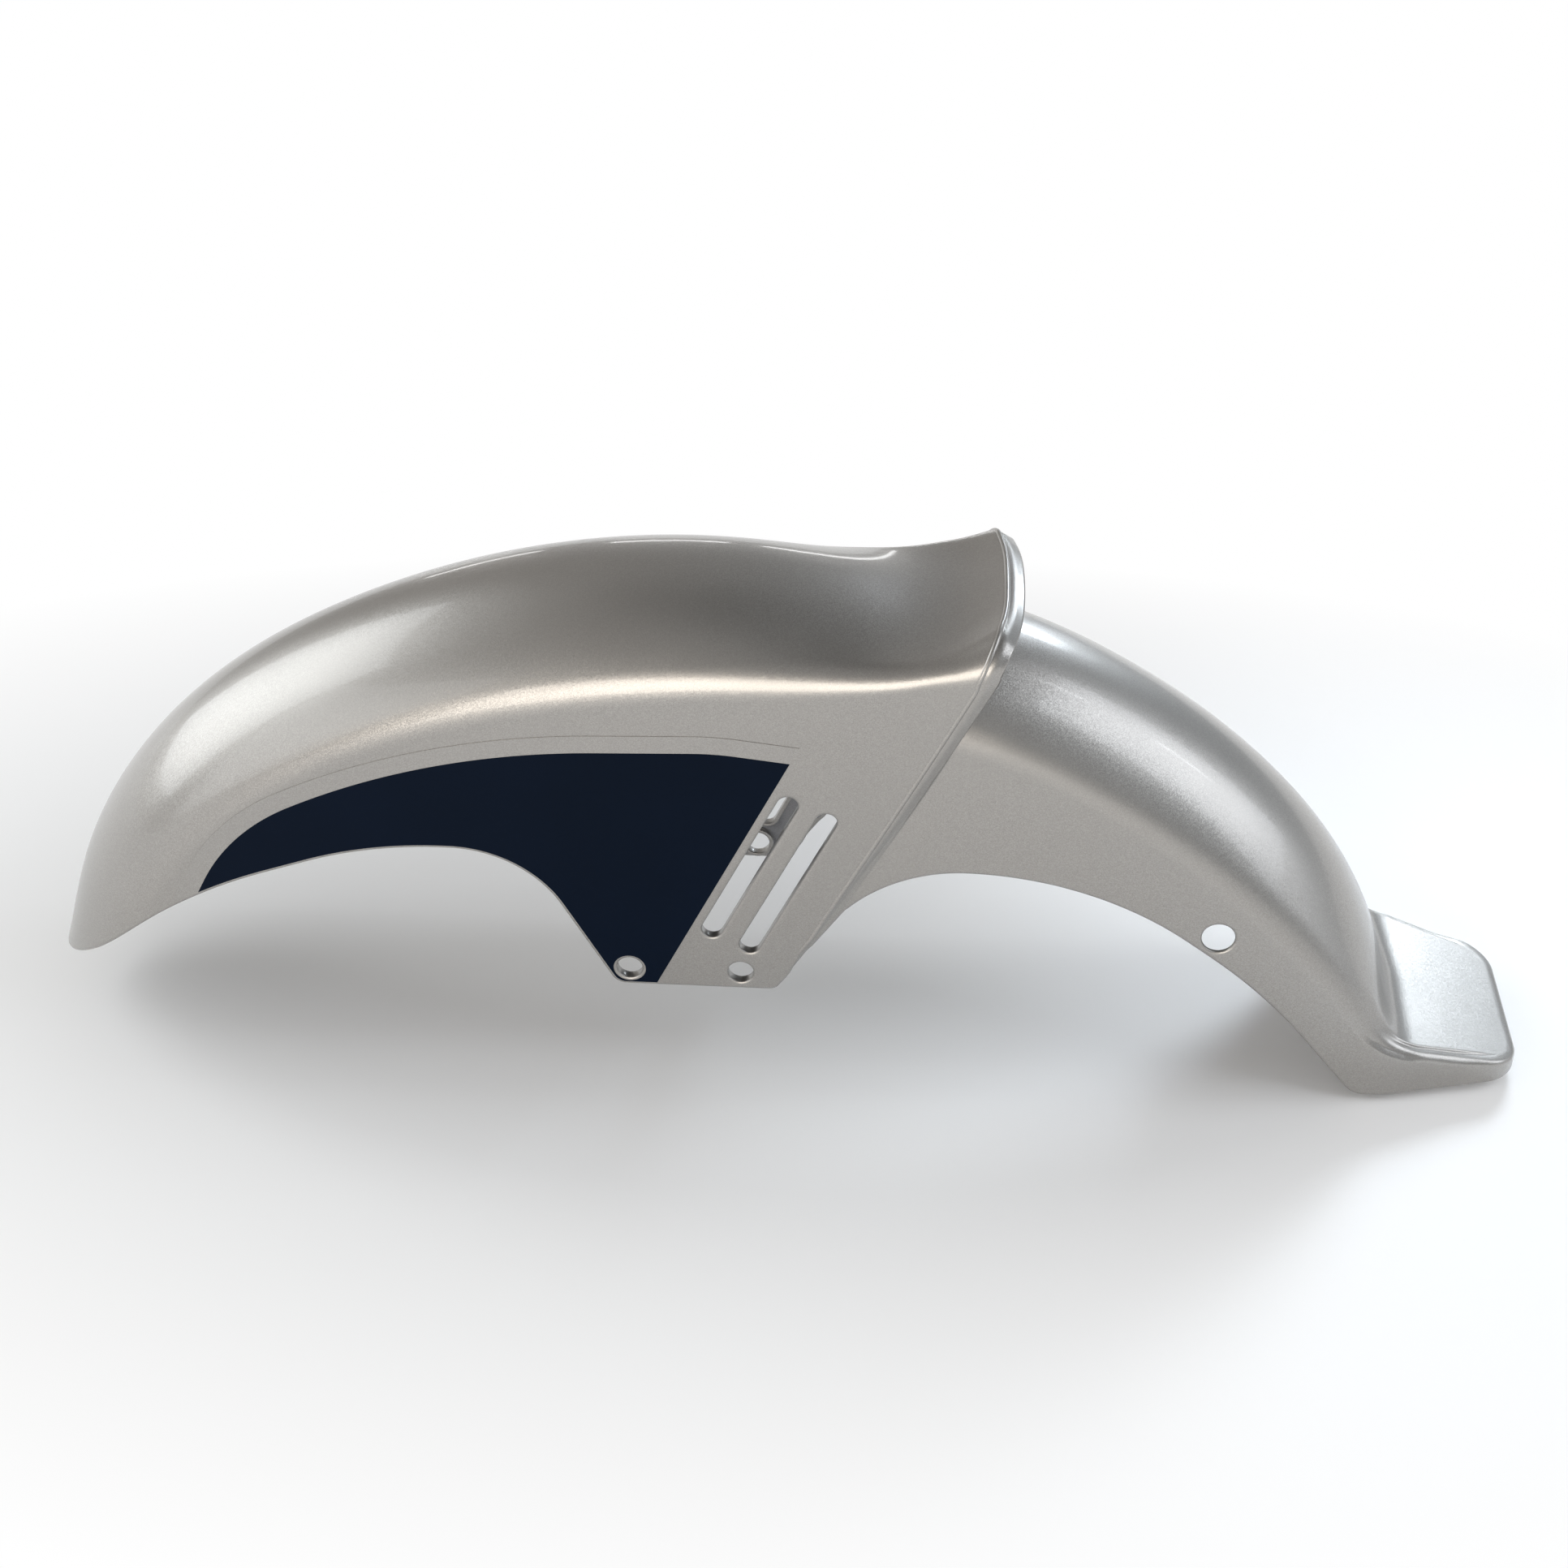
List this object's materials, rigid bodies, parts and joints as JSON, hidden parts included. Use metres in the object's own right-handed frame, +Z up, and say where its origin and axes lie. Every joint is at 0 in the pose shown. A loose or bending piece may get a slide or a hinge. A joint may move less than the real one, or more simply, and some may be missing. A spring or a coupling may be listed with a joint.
{
  "type": "motorcycle mudguard",
  "caption": "Front mudguard shell with flared lip, fork tabs with slots, side decals and a kicked-out tail flap.",
  "frame": {"origin": "middle of the pattern of fork bolt holes, halfway between the two tabs", "axes": "+X to the rear of the bike, +Y to its right-hand side, +Z up"},
  "size_m": [0.8696, 0.1486, 0.3016],
  "materials": {
    "silver_paint": "moulded plastic in silver metallic paint under clear lacquer",
    "decal_film": "dark blue printed film with a satin gloss"
  },
  "bodies": {
    "root": {"mudguard_shell": "silver_paint", "decal_left": "decal_film", "decal_right": "decal_film"}
  },
  "joints": []
}
